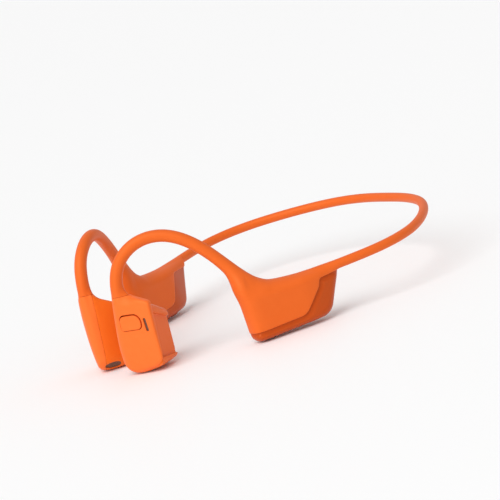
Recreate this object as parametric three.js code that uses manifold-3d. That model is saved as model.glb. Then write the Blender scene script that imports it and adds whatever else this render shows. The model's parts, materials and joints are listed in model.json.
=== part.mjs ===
// Bone conduction headphones: an open neckband that ends, on each side, in an electronics pod behind the
// ear, a hook over the ear and a transducer in front of the ear.
//
// Everything is drawn in the band frame, in millimetres: X towards the wearer's left, Y towards the back,
// Z up, with the neckband in the plane Z = 0. The last group tips that frame by restTilt and lifts it, so
// that the headphones stand on the front corners of the pods and the lower edges of the transducers.
import * as THREE from "three";
import { mergeVertices } from "three/addons/utils/BufferGeometryUtils.js";
import Module from "manifold-3d";

const wasm = await Module();
wasm.setup();

// ---------------------------------------------------------------- driving dimensions
const gap = 0.3; // clearance between neighbouring pieces
const wireRadius = 0.5; // titanium wire that runs through band and hooks
const bandRadius = 1.42; // silicone neckband
const hookRadius = 1.85; // silicone ear hook
const hookSeamHeight = 12.5; // where the hook meets the transducer shell, in transducer height
const flexHalfWidth = 20; // the band bends at X = +-flexHalfWidth

// The two places on each side that touch the table: the pod's front corner and the transducer's toe.
const podCorner = { y: -20.7, z: -13.4 };
const transducerToe = { y: -48.7, z: -12.1 };
const restTilt = Math.atan2(transducerToe.z - podCorner.z, podCorner.y - transducerToe.y);
const restLift = -(podCorner.y * Math.sin(restTilt) + podCorner.z * Math.cos(restTilt));
const restShift = -5.035; // centres the whole on Y = 0

const podOrigin = [35.7, -13.2, 0]; // notch between hook and band, above the pod
const podYaw = THREE.MathUtils.degToRad(71.6); // direction of the pod's length, from +X
const podHalfThickness = 4.3;
const podSkinWall = 0.8;
const podCaseWall = 0.9;
const caseRecess = 0.1; // the bare case lies this far below the skin's surface

const transducerOrigin = [7.82, -52.75, 0];
const transducerYaw = THREE.MathUtils.degToRad(61); // the outer face turns this far forward from +X
const transducerLean = THREE.MathUtils.degToRad(5.26); // its top leans back
const shellDepth = 3.9; // matte outer shell
const housingDepth = 11.4; // glossy inner housing, behind the shell
const transducerDepth = 12.4; // with the contact pad
const transducerWall = 1.0;

const buttonTravel = 0.3;

// Centre line of the left half, from the middle of the neckband to the transducer.
const centreLine = [
  [0, 60, 0], [11.5, 59.4, 0], [22.2, 56.4, 0], [31.7, 50.4, 0], [39.9, 42.3, 0], [45.7, 32.9, 0],
  [47.4, 22.4, 0], [45, 11.3, 0], [41.2, 1.2, 0], [37.7, -7.7, 0], [35, -14.7, 1.2], [32.4, -18.8, 5.6],
  [28.9, -22.6, 13.1], [24.4, -27.2, 20.6], [19.3, -32.4, 24.9], [14.2, -39.1, 25.1], [10.8, -44.8, 20.7],
  [9.9, -48, 12.7], [10.3, -50.2, 5.2],
];

// ---------------------------------------------------------------- materials
function finish(color, roughness, metalness = 0) {
  return new THREE.MeshStandardMaterial({ color, roughness, metalness });
}
const silicone = () => finish(0xf07030, 0.62);
const glossPlastic = () => finish(0xdd5a22, 0.22);
const mattePlastic = () => finish(0xf07030, 0.5);
const darkMesh = () => finish(0x3a3230, 0.8);
const titanium = () => finish(0xb4b0aa, 0.35, 1);
const steel = () => finish(0xc4c6c8, 0.3, 1);
const copper = () => finish(0xc87a45, 0.35, 1);
const boardGreen = () => finish(0x1f5a3c, 0.5);
const blackPlastic = () => finish(0x1d1d1f, 0.45);
const foil = () => finish(0xbfc3c8, 0.3, 1);
const lightPipe = () => finish(0xf4f2ea, 0.3);

// ---------------------------------------------------------------- solids
function toSolid(geometry) {
  const bare = geometry.clone();
  bare.deleteAttribute("normal");
  bare.deleteAttribute("uv");
  const merged = mergeVertices(bare, 1e-6);
  return new wasm.Manifold(new wasm.Mesh({
    numProp: 3,
    vertProperties: new Float32Array(merged.attributes.position.array),
    triVerts: new Uint32Array(merged.index.array),
  }));
}

// The largest body of a solid, as a geometry: slivers that a cut leaves loose are dropped.
function toGeometry(solid) {
  const bodies = solid.decompose().sort((a, b) => b.volume() - a.volume());
  const mesh = bodies[0].getMesh();
  const geometry = new THREE.BufferGeometry();
  geometry.setAttribute("position", new THREE.BufferAttribute(new Float32Array(mesh.vertProperties), 3));
  geometry.setIndex(new THREE.BufferAttribute(new Uint32Array(mesh.triVerts), 1));
  return geometry;
}

// The mirror image of a geometry in its own plane x = 0, with its faces turned to point out again.
function mirrored(geometry) {
  const copy = geometry.index ? geometry.clone() : mergeVertices(geometry);
  const position = copy.attributes.position;
  for (let i = 0; i < position.count; i += 1) position.setX(i, -position.getX(i));
  const index = copy.index.array;
  for (let i = 0; i < index.length; i += 3) [index[i], index[i + 1]] = [index[i + 1], index[i]];
  copy.deleteAttribute("normal");
  return copy;
}

function outline(points) {
  return new THREE.Shape(points.map(([x, y]) => new THREE.Vector2(x, y)));
}

// A plate of the given outline between the heights low and high, its edges bevelled and grown by `grow`.
function plate(shape, low, high, { bevel = 0, grow = 0, curveSegments = 5, bevelSegments = 2 } = {}) {
  const edge = Math.max(bevel, 0.01);
  const geometry = new THREE.ExtrudeGeometry(shape, {
    depth: high - low - 2 * edge,
    bevelEnabled: true,
    bevelThickness: edge,
    bevelSize: edge,
    bevelOffset: grow - edge,
    bevelSegments: bevel > 0 ? bevelSegments : 1,
    curveSegments,
    steps: 1,
  });
  geometry.translate(0, 0, low + edge);
  return geometry;
}

// A convex outline drawn smaller: every side of its bounding box moves in by `inset`.
function shrunk(shape, inset, curveSegments = 5) {
  const drawn = shape.getPoints(curveSegments);
  const bounds = new THREE.Box2().setFromPoints(drawn);
  const centre = bounds.getCenter(new THREE.Vector2());
  const size = bounds.getSize(new THREE.Vector2());
  const scale = new THREE.Vector2(1 - (2 * inset) / size.x, 1 - (2 * inset) / size.y);
  return new THREE.Shape(drawn.map((point) => point.sub(centre).multiply(scale).add(centre)));
}

const solidPlate = (...options) => toSolid(plate(...options));

// A plate drawn in (x, z) and standing along local y.
function uprightPlate(shape, low, high, options) {
  return toSolid(plate(shape, -high, -low, options).rotateX(Math.PI / 2));
}

// A plate drawn in (z, y) and lying along local x.
function crossPlate(shape, low, high, options) {
  return toSolid(plate(shape, -high, -low, options).rotateY(-Math.PI / 2));
}

function box(width, height, depth, x, y, z) {
  return new THREE.BoxGeometry(width, height, depth).translate(x, y, z);
}

// A disc or ring about local z: a lathe profile of (radius, height) turned from y to z.
function turned(profile, segments, x, y, z) {
  const points = profile.map(([r, h]) => new THREE.Vector2(r, h));
  return new THREE.LatheGeometry(points, segments).rotateX(Math.PI / 2).translate(x, y, z);
}

// A closed round tube along a curve, with a radius that may change along it.
function sweep(curve, steps, sides, radiusAt) {
  const frames = curve.computeFrenetFrames(steps, false);
  const positions = [];
  const index = [];
  for (let i = 0; i <= steps; i += 1) {
    const centre = curve.getPointAt(i / steps);
    const radius = radiusAt(i / steps);
    for (let j = 0; j < sides; j += 1) {
      const angle = (2 * Math.PI * j) / sides;
      const point = centre.clone()
        .addScaledVector(frames.normals[i], radius * Math.cos(angle))
        .addScaledVector(frames.binormals[i], radius * Math.sin(angle));
      positions.push(point.x, point.y, point.z);
    }
  }
  for (let i = 0; i < steps; i += 1) {
    for (let j = 0; j < sides; j += 1) {
      const a = i * sides + j;
      const b = i * sides + ((j + 1) % sides);
      index.push(a, b, a + sides, b, b + sides, a + sides);
    }
  }
  const last = steps * sides;
  for (let j = 1; j < sides - 1; j += 1) {
    index.push(0, j + 1, j);
    index.push(last, last + j, last + j + 1);
  }
  const geometry = new THREE.BufferGeometry();
  geometry.setAttribute("position", new THREE.Float32BufferAttribute(positions, 3));
  geometry.setIndex(index);
  return geometry;
}

// ---------------------------------------------------------------- frames
const headphones = new THREE.Group();
headphones.rotation.x = restTilt;
headphones.position.set(0, restShift, restLift);

function frameOf(origin, xAxis, yAxis, zAxis, side) {
  const mirror = new THREE.Vector3(side, 1, 1);
  const x = xAxis.clone().multiply(mirror).multiplyScalar(side);
  const matrix = new THREE.Matrix4()
    .makeBasis(x, yAxis.clone().multiply(mirror), zAxis.clone().multiply(mirror));
  matrix.setPosition(origin[0] * side, origin[1], origin[2]);
  const group = new THREE.Group();
  group.applyMatrix4(matrix);
  headphones.add(group);
  return group;
}

const up = new THREE.Vector3(0, 0, 1);
const podAlong = new THREE.Vector3(Math.cos(podYaw), Math.sin(podYaw), 0);
const podOut = podAlong.clone().cross(up);
// Pod frame: x backwards along the pod, y up, z outwards.
const podMatrix = new THREE.Matrix4().makeBasis(podAlong, up, podOut).setPosition(...podOrigin);

const leanUp = new THREE.Vector3(0, Math.sin(transducerLean), Math.cos(transducerLean));
const faceOut = new THREE.Vector3(Math.cos(transducerYaw), -Math.sin(transducerYaw), 0);
faceOut.addScaledVector(leanUp, -faceOut.dot(leanUp)).normalize();
const faceAlong = leanUp.clone().cross(faceOut);
// Transducer frame: x backwards along the outer face, y up, z out of that face.
const transducerMatrix = new THREE.Matrix4().makeBasis(faceAlong, leanUp, faceOut)
  .setPosition(...transducerOrigin);

const sides = [
  { name: "left", sign: 1 },
  { name: "right", sign: -1 },
];
for (const side of sides) {
  side.podFrame = frameOf(podOrigin, podAlong, up, podOut, side.sign);
  side.transducerFrame = frameOf(transducerOrigin, faceAlong, leanUp, faceOut, side.sign);
}

function addMesh(parent, name, geometry, material) {
  const mesh = new THREE.Mesh(geometry, material);
  mesh.name = name;
  parent.add(mesh);
  return mesh;
}

// Adds a piece drawn for the left side: as drawn on the left, mirrored on the right.
function addSided(side, parent, name, geometry, material) {
  const own = side.sign > 0 ? geometry : mirrored(geometry);
  return addMesh(parent, `${side.name}_${name}`, own, material);
}

// ---------------------------------------------------------------- centre lines
const points = centreLine.map((p) => new THREE.Vector3(...p));
const wholeLeft = new THREE.CatmullRomCurve3(
  [points[2], points[1]].map((p) => new THREE.Vector3(-p.x, p.y, p.z)).concat(points),
  false, "centripetal",
);
const half = new THREE.CatmullRomCurve3(
  wholeLeft.getSpacedPoints(260).filter((p) => p.x >= -0.2 || p.y < 0), false, "centripetal",
);
half.arcLengthDivisions = 900;

// The place along the half curve, from 0 to 1, of the point nearest to a given one.
function placeOf(target) {
  let best = 0;
  let shortest = Infinity;
  for (let i = 0; i <= 2000; i += 1) {
    const distance = half.getPointAt(i / 2000).distanceTo(target);
    if (distance < shortest) [best, shortest] = [i / 2000, distance];
  }
  return best;
}

function stretch(from, to, samples) {
  const picked = [];
  for (let i = 0; i <= samples; i += 1) picked.push(half.getPointAt(from + ((to - from) * i) / samples));
  const curve = new THREE.CatmullRomCurve3(picked, false, "centripetal");
  curve.arcLengthDivisions = 600;
  return curve;
}

const placeAtFlex = placeOf(new THREE.Vector3(flexHalfWidth, 57.2, 0));
const placeAtFlexArm = placeAtFlex + gap / half.getLength();
const podPoint = (along, height, out = 0) => new THREE.Vector3(along, height, out).applyMatrix4(podMatrix);
const placeBandEnd = placeOf(podPoint(13, 0));
const placeBandWireEnd = placeOf(podPoint(15.5, 0));
const placeHookStart = placeOf(podPoint(-3.2, 2.2));
const placeHookWireStart = placeOf(podPoint(-5, 4));
const placeHookWireEnd = 0.975;

// ---------------------------------------------------------------- neckband
function addNeckband() {
  const arc = [];
  const reach = 9;
  for (let i = -reach; i <= reach; i += 1) {
    const point = half.getPointAt((Math.abs(i) / reach) * placeAtFlex);
    arc.push(new THREE.Vector3(point.x * Math.sign(i), point.y, point.z));
  }
  const centre = new THREE.CatmullRomCurve3(arc, false, "centripetal");
  const skin = toSolid(sweep(centre, 14, 12, () => bandRadius))
    .subtract(toSolid(sweep(lengthened(centre), 16, 8, () => wireRadius + gap)));
  addMesh(headphones, "neckband_skin", toGeometry(skin), silicone());
  addMesh(headphones, "neckband_wire", sweep(centre, 14, 6, () => wireRadius), titanium());
}

// The same curve with 1 mm more at each end, for cutting clean through.
function lengthened(curve) {
  const inner = curve.getSpacedPoints(24);
  const first = inner[0].clone().addScaledVector(curve.getTangentAt(0), -1);
  const last = inner[24].clone().addScaledVector(curve.getTangentAt(1), 1);
  return new THREE.CatmullRomCurve3([first, ...inner, last], false, "centripetal");
}

// ---------------------------------------------------------------- pod shapes
// Side view of the pod: x backwards, y up.
function podOutline() {
  const shape = new THREE.Shape();
  shape.moveTo(-9.5, 5.2);
  shape.lineTo(-9.6, -2);
  shape.lineTo(-10.3, -10.4);
  shape.quadraticCurveTo(-10.4, -13.5, -7.8, -13.5);
  shape.lineTo(11, -13.5);
  shape.quadraticCurveTo(15.8, -13.3, 17.6, -9);
  shape.quadraticCurveTo(19.2, -4.6, 21.2, -1.7);
  shape.lineTo(21.2, 1.45);
  shape.lineTo(10, 1.75);
  shape.quadraticCurveTo(1, 2, -2, 3.1);
  shape.quadraticCurveTo(-4, 3.9, -5.2, 5.2);
  shape.closePath();
  return shape;
}

// Plan of the pod: x backwards, y across. It narrows towards both ends.
function podPlan(inset = 0) {
  const half = podHalfThickness - inset;
  const right = [[-10.6 + inset, half * 0.5], [-9, half * 0.78], [-5, half * 0.97], [0, half], [9, half],
    [14.5, half * 0.85], [19 - inset, half * 0.5], [21.4 - 2 * inset, half * 0.37]];
  const left = right.map(([x, y]) => [x, -y]).reverse();
  return outline(right.concat(left));
}

// The pod drawn smaller by `inset` on every side; only the full-size pod has bevelled edges.
function podBlock(inset) {
  const reach = podHalfThickness - inset;
  const bevel = inset < podSkinWall ? 1.3 : 0;
  const side = solidPlate(podOutline(), -reach, reach, { bevel, grow: -inset });
  return side.intersect(uprightPlate(podPlan(inset), -20, 10, {}));
}

// The room inside the pod's case.
function podCavity() {
  const reach = podHalfThickness - podSkinWall - gap - podCaseWall;
  const shape = outline([[-8.3, 3], [-8.4, -10], [-7.6, -11.4], [10.6, -11.4], [13.4, -10], [15.6, -5],
    [14.6, -0.4], [9, -0.2], [0, 0.1], [-3.2, 1.4], [-4.8, 3]]);
  return solidPlate(shape, -reach, reach, {});
}

// The part of the side view that the silicone skin covers; the rest shows the glossy case.
function skinRegion(drop) {
  return outline([[-30, -10.3 - drop], [-9.8, -10.3 - drop], [9.6, -11.2 - drop], [11.1 + drop, -7.7],
    [12.8 + drop, -4.6 - drop], [15, -2.5 - drop], [30, -2.1 - drop], [30, 30], [-30, 30]].reverse());
}

const inPodFrame = (geometry) => geometry.applyMatrix4(podMatrix.clone().invert());
const podWires = () => {
  const band = inPodFrame(sweep(stretch(placeOf(podPoint(30, 0)), placeBandWireEnd + 0.004, 10), 6, 8,
    () => wireRadius + gap));
  const hook = inPodFrame(sweep(stretch(placeHookWireStart - 0.004, placeOf(podPoint(-14, 17, -5)), 10), 6, 8,
    () => wireRadius + gap));
  return toSolid(band).add(toSolid(hook));
};

const usbCentre = [-3, -10.1];
const usbSize = { length: 8.9, width: 3.2, depth: 6.4, corner: 1.3, wall: 0.3 };
const volumeButtons = [{ name: "volume_up", along: 4.4 }, { name: "volume_down", along: 8.7 }];
const volumeSize = { length: 3.7, width: 3.4 };

function roundedSlot(length, width, corner) {
  const shape = new THREE.Shape();
  const x = length / 2;
  const y = width / 2;
  shape.moveTo(-x + corner, -y);
  shape.lineTo(x - corner, -y);
  shape.absarc(x - corner, -y + corner, corner, -Math.PI / 2, 0);
  shape.lineTo(x, y - corner);
  shape.absarc(x - corner, y - corner, corner, 0, Math.PI / 2);
  shape.lineTo(-x + corner, y);
  shape.absarc(-x + corner, y - corner, corner, Math.PI / 2, Math.PI);
  shape.lineTo(-x, -y + corner);
  shape.absarc(-x + corner, -y + corner, corner, Math.PI, 1.5 * Math.PI);
  return shape;
}

// A rounded bar standing along the pod's height, between two heights.
function standing(length, width, corner, along, low, high, options = {}) {
  return plate(roundedSlot(length, width, corner), low, high, { curveSegments: 3, ...options })
    .rotateX(-Math.PI / 2).translate(along, 0, 0);
}

const lightPlace = { along: 12.6, height: -11.7, out: 1.6, size: 1.1 };

function podOpenings() {
  let cut = toSolid(standing(usbSize.length + 2 * gap, usbSize.width + 2 * gap, 1.5, usbCentre[0], -16, -10));
  for (const button of volumeButtons) {
    cut = cut.add(toSolid(standing(volumeSize.length + 2 * gap, volumeSize.width + 2 * gap, 1, button.along,
      -16, -10)));
  }
  const { along, height, out, size } = lightPlace;
  cut = cut.add(toSolid(box(size + 2 * gap, 6, size + 2 * gap, along, height - 1, out)));
  return cut;
}

function addPod(side) {
  const wires = podWires();
  const core = podBlock(podSkinWall + gap);
  const coreRoom = podBlock(podSkinWall);
  const above = solidPlate(skinRegion(0), -9, 9, {});
  const below = solidPlate(skinRegion(gap), -9, 9, {});
  const skin = podBlock(0).intersect(above).subtract(coreRoom).subtract(wires);
  addSided(side, side.podFrame, "pod_skin", toGeometry(skin), silicone());

  let cases = core.add(podBlock(caseRecess).subtract(below)).subtract(podCavity()).subtract(wires);
  if (side.sign < 0) cases = cases.subtract(podOpenings());
  const outerHalf = toSolid(box(60, 60, 20, 0, 0, 10 + gap / 2));
  const innerHalf = toSolid(box(60, 60, 20, 0, 0, -10 - gap / 2));
  addSided(side, side.podFrame, "pod_outer_case", toGeometry(cases.intersect(outerHalf)), glossPlastic());
  addSided(side, side.podFrame, "pod_inner_case", toGeometry(cases.intersect(innerHalf)), glossPlastic());
}

// ---------------------------------------------------------------- band arms and ear hooks
function addArm(side) {
  const podRoom = toSolid(plate(podOutline(), -podHalfThickness - gap, podHalfThickness + gap, { grow: gap })
    .applyMatrix4(podMatrix));
  const frontRoom = toSolid(box(40, 40, 40, 0, hookSeamHeight - 20, 0).applyMatrix4(transducerMatrix));

  const bandCurve = stretch(placeAtFlexArm, placeBandEnd, 40);
  const bandHole = toSolid(sweep(lengthened(bandCurve), 22, 8, () => wireRadius + gap));
  const swelling = (t) => bandRadius + 0.25 * THREE.MathUtils.smoothstep(t, 0.75, 1);
  const band = toSolid(sweep(bandCurve, 22, 12, swelling)).subtract(bandHole).subtract(podRoom);
  addSided(side, headphones, "band_skin", toGeometry(band), silicone());
  const bandWire = sweep(stretch(placeAtFlexArm, placeBandWireEnd, 40), 22, 6, () => wireRadius);
  addSided(side, headphones, "band_wire", bandWire, titanium());

  const hookCurve = stretch(placeHookStart, 1, 40);
  const hookFlare = (t) => hookRadius + 0.75 * THREE.MathUtils.smoothstep(0.2 - t, 0, 0.2)
    + 0.7 * THREE.MathUtils.smoothstep(t, 0.78, 0.95);
  const hookHole = toSolid(sweep(lengthened(hookCurve), 28, 8, () => wireRadius + gap));
  const hook = toSolid(sweep(hookCurve, 28, 12, hookFlare)).subtract(hookHole).subtract(podRoom)
    .subtract(frontRoom);
  addSided(side, headphones, "hook_skin", toGeometry(hook), silicone());
  const hookWire = sweep(stretch(placeHookWireStart, placeHookWireEnd, 40), 28, 6, () => wireRadius);
  addSided(side, headphones, "hook_wire", hookWire, titanium());
}

// ---------------------------------------------------------------- transducer shapes
// Outer face: x backwards, y up.
function shellOutline() {
  const shape = new THREE.Shape();
  shape.moveTo(1.95, 12.2);
  shape.lineTo(1.8, -6.4);
  shape.quadraticCurveTo(2.1, -10.3, 6.6, -10.75);
  shape.quadraticCurveTo(9.6, -10.7, 11.8, -9.6);
  shape.quadraticCurveTo(13.8, -8.9, 13.85, -7);
  shape.lineTo(13.95, 8.8);
  shape.quadraticCurveTo(13.9, 9.9, 12.5, 10.2);
  shape.quadraticCurveTo(9.8, 10.8, 8.2, 12.2);
  shape.closePath();
  return shape;
}

// Plan of the shell: x backwards, y out of the face. Its front corner is well rounded.
function shellPlan(inset = 0) {
  const shape = new THREE.Shape();
  const low = 1.2 + inset;
  const high = 14.2 - inset;
  shape.moveTo(low, -20);
  shape.lineTo(high, -20);
  shape.lineTo(high, -0.8 - inset);
  shape.lineTo(high - 0.8, -inset);
  shape.lineTo(low + 3.2, -inset);
  shape.quadraticCurveTo(low + 0.4, -0.3 - inset, low, -3.4 - inset);
  shape.closePath();
  return shape;
}

// Profile across the face: x is depth (negative inwards), y up. The housing's top falls inwards.
function housingProfile(inset = 0) {
  return outline([[-20, 3.4 - inset], [-transducerDepth, 4.7 - inset], [-shellDepth, 9.7 - inset], [5, 14.7],
    [5, -11.55 + inset], [-7.4, -11.55 + inset], [-9.5, -10.6 + inset], [-20, -10.1 + inset]].reverse());
}

function housingOutline() {
  const shape = new THREE.Shape();
  shape.moveTo(2.6, 10.5);
  shape.quadraticCurveTo(1.1, 10.3, 1.1, 8.8);
  shape.lineTo(1.1, -7);
  shape.quadraticCurveTo(1.5, -11.2, 5, -11.6);
  shape.quadraticCurveTo(9.4, -11.5, 11.6, -10.1);
  shape.quadraticCurveTo(13.3, -9, 13.35, -7.4);
  shape.lineTo(13.35, 8.8);
  shape.quadraticCurveTo(13.2, 10.3, 11.9, 10.5);
  shape.closePath();
  return shape;
}

function shellBlock(inset, low, high, bevel) {
  const face = solidPlate(shrunk(shellOutline(), inset), low - 4, high, { bevel });
  const plan = uprightPlate(shellPlan(inset), -30, 30, {});
  const room = toSolid(box(60, 60, 60, 0, 0, 30 + low));
  return face.intersect(plan).intersect(room);
}

const housingEase = 0.02; // the housing's front and rear edges are eased by this much

function housingBlock(inset, low, high) {
  const face = solidPlate(shrunk(housingOutline(), inset), low, high, { bevel: inset > 0 ? 0 : 0.6 });
  const profile = crossPlate(housingProfile(inset), -10, 30, { bevel: housingEase });
  return face.intersect(profile);
}

// The driver's places are measured in from the outer face, so they are negative.
const driver = { x: 7.2, y: -2.2, radius: 4.5, cupWall: 0.7, cupFloor: -5.2, cupRim: -8.6 };
const magnet = { radius: 2.5, front: -6.2, back: -8.6 };
const coil = { inner: 2.85, outer: 3.45, front: -7.2, back: -9.4 };
const springPlate = { hole: 1.4, front: -9.75, back: -10.1 };
const airSpeaker = { x: 7.6, y: -4.6, radius: 4.2, front: -1.7, back: -3.3 };
const button = { x: 6.7, y: 4.4, length: 7, width: 5.1, corner: 1.4, proud: 0.35 };
const micSlot = { x: 11.6, y: 3.05, length: 3.9, width: 0.9 };
const port = { x: 3.6, y: -10.3, z: -6.2 };

function multifunctionOutline(extra) {
  return roundedSlot(button.length + 2 * extra, button.width + 2 * extra, button.corner + extra);
}

function addTransducer(side) {
  const frame = side.transducerFrame;
  const openBack = -shellDepth - 3;
  let shell = shellBlock(0, -shellDepth, 0, 0.6)
    .subtract(shellBlock(transducerWall, openBack, -transducerWall, 0));
  const hookWireRoom = toSolid(sweep(stretch(placeHookWireEnd - 0.06, placeHookWireEnd + 0.01, 8), 6, 8,
    () => wireRadius + gap).applyMatrix4(transducerMatrix.clone().invert()));
  shell = shell.subtract(hookWireRoom);
  if (side.sign > 0) {
    shell = shell.subtract(toSolid(plate(multifunctionOutline(gap), -5, 3).translate(button.x, button.y, 0)));
    shell = shell.subtract(toSolid(plate(roundedSlot(micSlot.width, micSlot.length, 0.44), -5, 3)
      .translate(micSlot.x, micSlot.y, 0)));
  }
  addSided(side, frame, "transducer_shell", toGeometry(shell), mattePlastic());

  const portCut = toSolid(box(3.4, 3, 4.1, port.x, port.y, port.z));
  const housing = housingBlock(0, -housingDepth, -shellDepth - gap)
    .subtract(housingBlock(transducerWall, -housingDepth + transducerWall, 3)).subtract(portCut)
    .subtract(hookWireRoom);
  addSided(side, frame, "transducer_housing", toGeometry(housing), glossPlastic());
  addSided(side, frame, "contact_pad", plate(padOutline(), -transducerDepth, -housingDepth - gap,
    { bevel: 0.3, bevelSegments: 1 }), silicone());
  addSided(side, frame, "port_grille", box(2.6, 0.6, 3.3, port.x + 0.2, port.y + 0.2, port.z), darkMesh());
  addDriver(side, frame);
}

function padOutline() {
  return outline([[3, -8.6], [11.6, -8], [12.2, -7], [12.2, 2.4], [11.4, 3.4], [3, 3.4], [2.3, 2.6],
    [2.3, -7.8]]);
}

// The bone conduction driver: a magnet in a steel cup, hung from a spring plate, and a coil in its gap.
// Beside it is the flat air conduction speaker.
function addDriver(side, frame) {
  const { x, y, radius, cupWall, cupFloor, cupRim } = driver;
  const bore = radius - cupWall;
  const cup = [[0, cupFloor - cupWall], [bore, cupFloor - cupWall], [bore, cupRim], [radius, cupRim],
    [radius, cupFloor], [0, cupFloor]];
  addSided(side, frame, "driver_yoke", turned(cup, 20, x, y, 0), steel());
  const slug = discProfile(magnet.radius, magnet.back, magnet.front);
  addSided(side, frame, "driver_magnet", turned(slug, 18, x, y, 0), steel());
  const winding = ringProfile(coil.inner, coil.outer, coil.back, coil.front);
  addSided(side, frame, "voice_coil", turned(winding, 18, x, y, 0), copper());
  const spring = ringProfile(springPlate.hole, radius + 0.1, springPlate.back, springPlate.front);
  addSided(side, frame, "driver_spring_plate", turned(spring, 20, x, y, 0), steel());
  const capsule = discProfile(airSpeaker.radius, airSpeaker.back, airSpeaker.front);
  addSided(side, frame, "air_speaker", turned(capsule, 18, airSpeaker.x, airSpeaker.y, 0), blackPlastic());
}

const discProfile = (radius, low, high) => [[0, low], [radius, low], [radius, high], [0, high]];

const ringProfile = (inner, outer, low, high) => [[inner, low], [outer, low], [outer, high], [inner, high],
  [inner, low]];

// ---------------------------------------------------------------- left controls and battery
function addLeftControls(side) {
  const frame = side.transducerFrame;
  addMesh(frame, "multifunction_button", plate(multifunctionOutline(0), -1.5, button.proud,
    { bevel: 0.3, bevelSegments: 1, curveSegments: 4 }).translate(button.x, button.y, 0), mattePlastic());
  addMesh(frame, "multifunction_switch", box(3, 3, 0.9, button.x, button.y, -2.5), blackPlastic());
  addMesh(frame, "microphone", box(1.7, 3.4, 0.9, micSlot.x - 0.3, micSlot.y, -2.6), foil());
  addMesh(frame, "microphone_mesh", box(0.34, 3.3, 0.5, micSlot.x, micSlot.y, -0.6), darkMesh());
  addMesh(side.podFrame, "battery", box(14.5, 7.6, 3.8, 2.4, -6.4, 0), foil());
  addMesh(side.podFrame, "battery_board", box(12, 1.6, 0.8, 3, -1.2, 0.6), boardGreen());
}

// ---------------------------------------------------------------- right controls and board
function addRightControls(side) {
  const frame = side.podFrame;
  const add = (name, geometry, material) => addMesh(frame, name, mirrored(geometry), material);
  add("main_board", box(17, 5.2, 0.7, 3, -3.4, 1.6), boardGreen());
  add("processor", box(4.4, 4.2, 0.9, 0, -3.4, 0.45), blackPlastic());
  add("antenna", box(12, 1.2, 0.4, 3.4, -3.2, -1.6), copper());
  const { length, width, depth, corner, wall } = usbSize;
  const portMouth = -13.2;
  const portRoom = toSolid(standing(length - 2 * wall, width - 2 * wall, corner - wall, usbCentre[0], -15,
    portMouth + depth - 0.5));
  const portShell = toSolid(standing(length, width, corner, usbCentre[0], portMouth, portMouth + depth));
  add("charging_port_shell", toGeometry(portShell.subtract(portRoom)), steel());
  add("charging_port_tongue", box(6.6, 4.2, 0.7, usbCentre[0], -9.7, 0), blackPlastic());
  const { along: lightAlong, height, out, size } = lightPlace;
  add("status_light", box(size, 2.4, size, lightAlong, height, out), lightPipe());
  for (const { name, along } of volumeButtons) {
    const key = standing(volumeSize.length, volumeSize.width, 0.9, along, -13.7, -11.7,
      { bevel: 0.3, bevelSegments: 1 });
    add(`${name}_button`, key, glossPlastic());
    add(`${name}_switch`, box(2.6, 1, 2.4, along, -10.8, 0), blackPlastic());
  }
}

addNeckband();
for (const side of sides) {
  addArm(side);
  addPod(side);
  addTransducer(side);
}
addLeftControls(sides[0]);
addRightControls(sides[1]);

export default headphones;
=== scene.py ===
import json
import math

import bpy
import numpy as np
from mathutils import Matrix, Vector


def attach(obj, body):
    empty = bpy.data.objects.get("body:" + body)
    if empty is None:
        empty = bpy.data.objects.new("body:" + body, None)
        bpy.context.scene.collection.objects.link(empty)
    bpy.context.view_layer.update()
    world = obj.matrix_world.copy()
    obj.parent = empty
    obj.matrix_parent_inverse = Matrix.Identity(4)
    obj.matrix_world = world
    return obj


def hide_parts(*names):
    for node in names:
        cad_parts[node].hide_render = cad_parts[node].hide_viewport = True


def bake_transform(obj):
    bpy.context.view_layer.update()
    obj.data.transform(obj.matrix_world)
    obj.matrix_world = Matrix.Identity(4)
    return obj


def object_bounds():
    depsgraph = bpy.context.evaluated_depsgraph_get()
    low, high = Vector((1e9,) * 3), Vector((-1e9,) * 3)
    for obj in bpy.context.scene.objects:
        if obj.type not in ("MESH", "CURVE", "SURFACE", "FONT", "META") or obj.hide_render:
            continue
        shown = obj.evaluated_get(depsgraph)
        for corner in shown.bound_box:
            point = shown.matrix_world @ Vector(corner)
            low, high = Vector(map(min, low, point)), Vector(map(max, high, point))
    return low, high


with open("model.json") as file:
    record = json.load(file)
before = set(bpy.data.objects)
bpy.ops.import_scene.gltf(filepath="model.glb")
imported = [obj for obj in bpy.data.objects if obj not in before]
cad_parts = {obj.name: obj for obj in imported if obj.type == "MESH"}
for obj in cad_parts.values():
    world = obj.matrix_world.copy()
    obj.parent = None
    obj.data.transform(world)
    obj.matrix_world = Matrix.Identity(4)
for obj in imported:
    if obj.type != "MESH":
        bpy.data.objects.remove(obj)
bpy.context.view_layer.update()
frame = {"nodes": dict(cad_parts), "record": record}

# Shapes are worked out in the band frame, in millimetres: X to the wearer's left, Y to the back, Z up, with
# the neckband in the plane Z = 0. to_row() tips that frame the way the headphones stand on a table and turns
# it into metres. Every surface is the zero level of a field that is negative inside the piece.

POD_CORNER = (-20.7, -13.4)  # y and z of the pod's front corner, which touches the table
TOE = (-48.7, -12.1)  # y and z of the transducer's lowest edge, which touches it too
TILT = math.atan2(TOE[1] - POD_CORNER[1], POD_CORNER[0] - TOE[0])
LIFT = -(POD_CORNER[0] * math.sin(TILT) + POD_CORNER[1] * math.cos(TILT))
SHIFT = -5.035  # along the table, to the row frame's origin

BAND_RADIUS = 1.42
POD_END_RADIUS = 2.35  # of the hook where it leaves the pod
HOOK_RADIUS = 1.85
WIRE_RADIUS = 0.5
POD_HALF = 4.3  # half the pod's thickness
SEAM_HEIGHT = 12.2  # the hook's cover ends at this height on the transducer
SEAM_GAP = 0.02
HOOK_BEND = (28.9, -22.6, 13.1)  # where the hook starts to turn over the ear

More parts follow.
